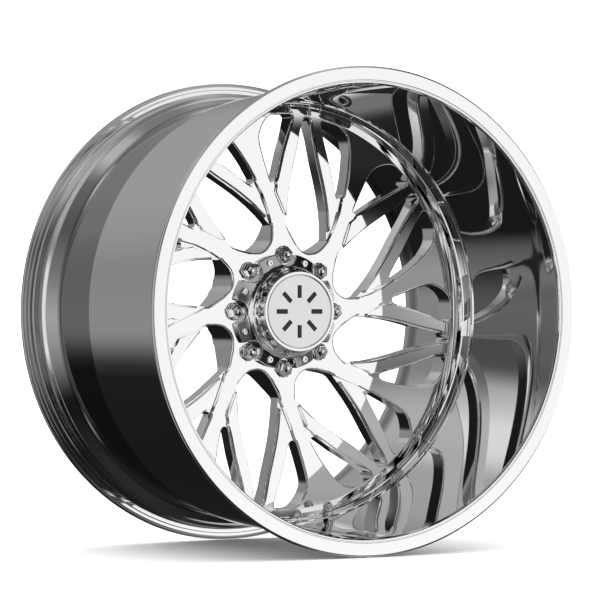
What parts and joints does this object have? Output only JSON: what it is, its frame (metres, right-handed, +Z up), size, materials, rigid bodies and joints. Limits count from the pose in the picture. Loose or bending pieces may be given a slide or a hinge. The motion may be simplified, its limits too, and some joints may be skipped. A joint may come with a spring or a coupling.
{
  "type": "forged wheel rim",
  "caption": "Deep-dish polished wheel rim with twin-twig spokes, capped hub, lug nuts in conical seats and a clamp-in valve on the step behind the lip.",
  "frame": {"origin": "centre of the wheel, on its axis, midway between the two flange faces", "axes": "+Y along the wheel axis towards the vehicle, the street side faces -Y, +Z up, +X to the right seen from the street side"},
  "size_m": [0.7, 0.4284, 0.7],
  "materials": {
    "polished_face": "mirror polished, machined flat",
    "polished_lip": "mirror polished, turned",
    "polished_barrel": "polished, turned",
    "sealant": "matte",
    "chrome_nut": "bright chrome",
    "chrome_cap": "bright chrome",
    "cap_disc": "fine satin",
    "cap_ring": "polished",
    "black_inlay": "gloss",
    "screw_steel": "bright",
    "rubber_seal": "matte",
    "valve_chrome": "bright chrome",
    "washer_steel": "bright",
    "core_brass": "bright"
  },
  "bodies": {
    "rim": {"wheel_centre": "polished_face", "outer_lip": "polished_lip", "inner_barrel": "polished_barrel", "rim_joint_seal": "sealant", "lug_nuts": "chrome_nut", "cap_base": "chrome_cap", "cap_tower": "chrome_cap", "cap_face_disc": "cap_disc", "cap_trim_ring": "cap_ring", "cap_emblem_inlay": "black_inlay", "cap_screws": "screw_steel", "cap_o_ring": "rubber_seal", "valve_stem": "valve_chrome", "valve_grommet": "rubber_seal", "valve_washer": "washer_steel", "valve_nut": "valve_chrome", "valve_core_body": "core_brass", "valve_core_spring": "washer_steel"},
    "cap_seal": {"valve_cap_seal": "rubber_seal"},
    "valve_cap": {"valve_cap": "valve_chrome"},
    "core_pin": {"valve_core_pin": "core_brass", "valve_core_seal": "rubber_seal"}
  },
  "joints": [
    {"name": "valve_cap_lift", "type": "slide", "parent": "rim", "child": "cap_seal", "axis": [-0.1858, -0.3628, 0.9132], "range_m": [0, 0.00397]},
    {"name": "valve_cap_turn", "type": "hinge", "parent": "cap_seal", "child": "valve_cap", "pos_m": [0.06133, 0.013, -0.30142], "axis": [-0.1858, -0.3628, 0.9132], "range_deg": [0, 1800]},
    {"name": "core_pin_press", "type": "slide", "parent": "rim", "child": "core_pin", "axis": [0.1858, 0.3628, -0.9132], "range_m": [0, 0.0012], "stiffness_N_per_m": 1000, "springref_m": -0.001, "deforming": ["valve_core_spring"]}
  ],
  "couplings": [
    {"joint": "valve_cap_turn", "follows": "valve_cap_lift", "rad_per_m": 7915.3}
  ]
}
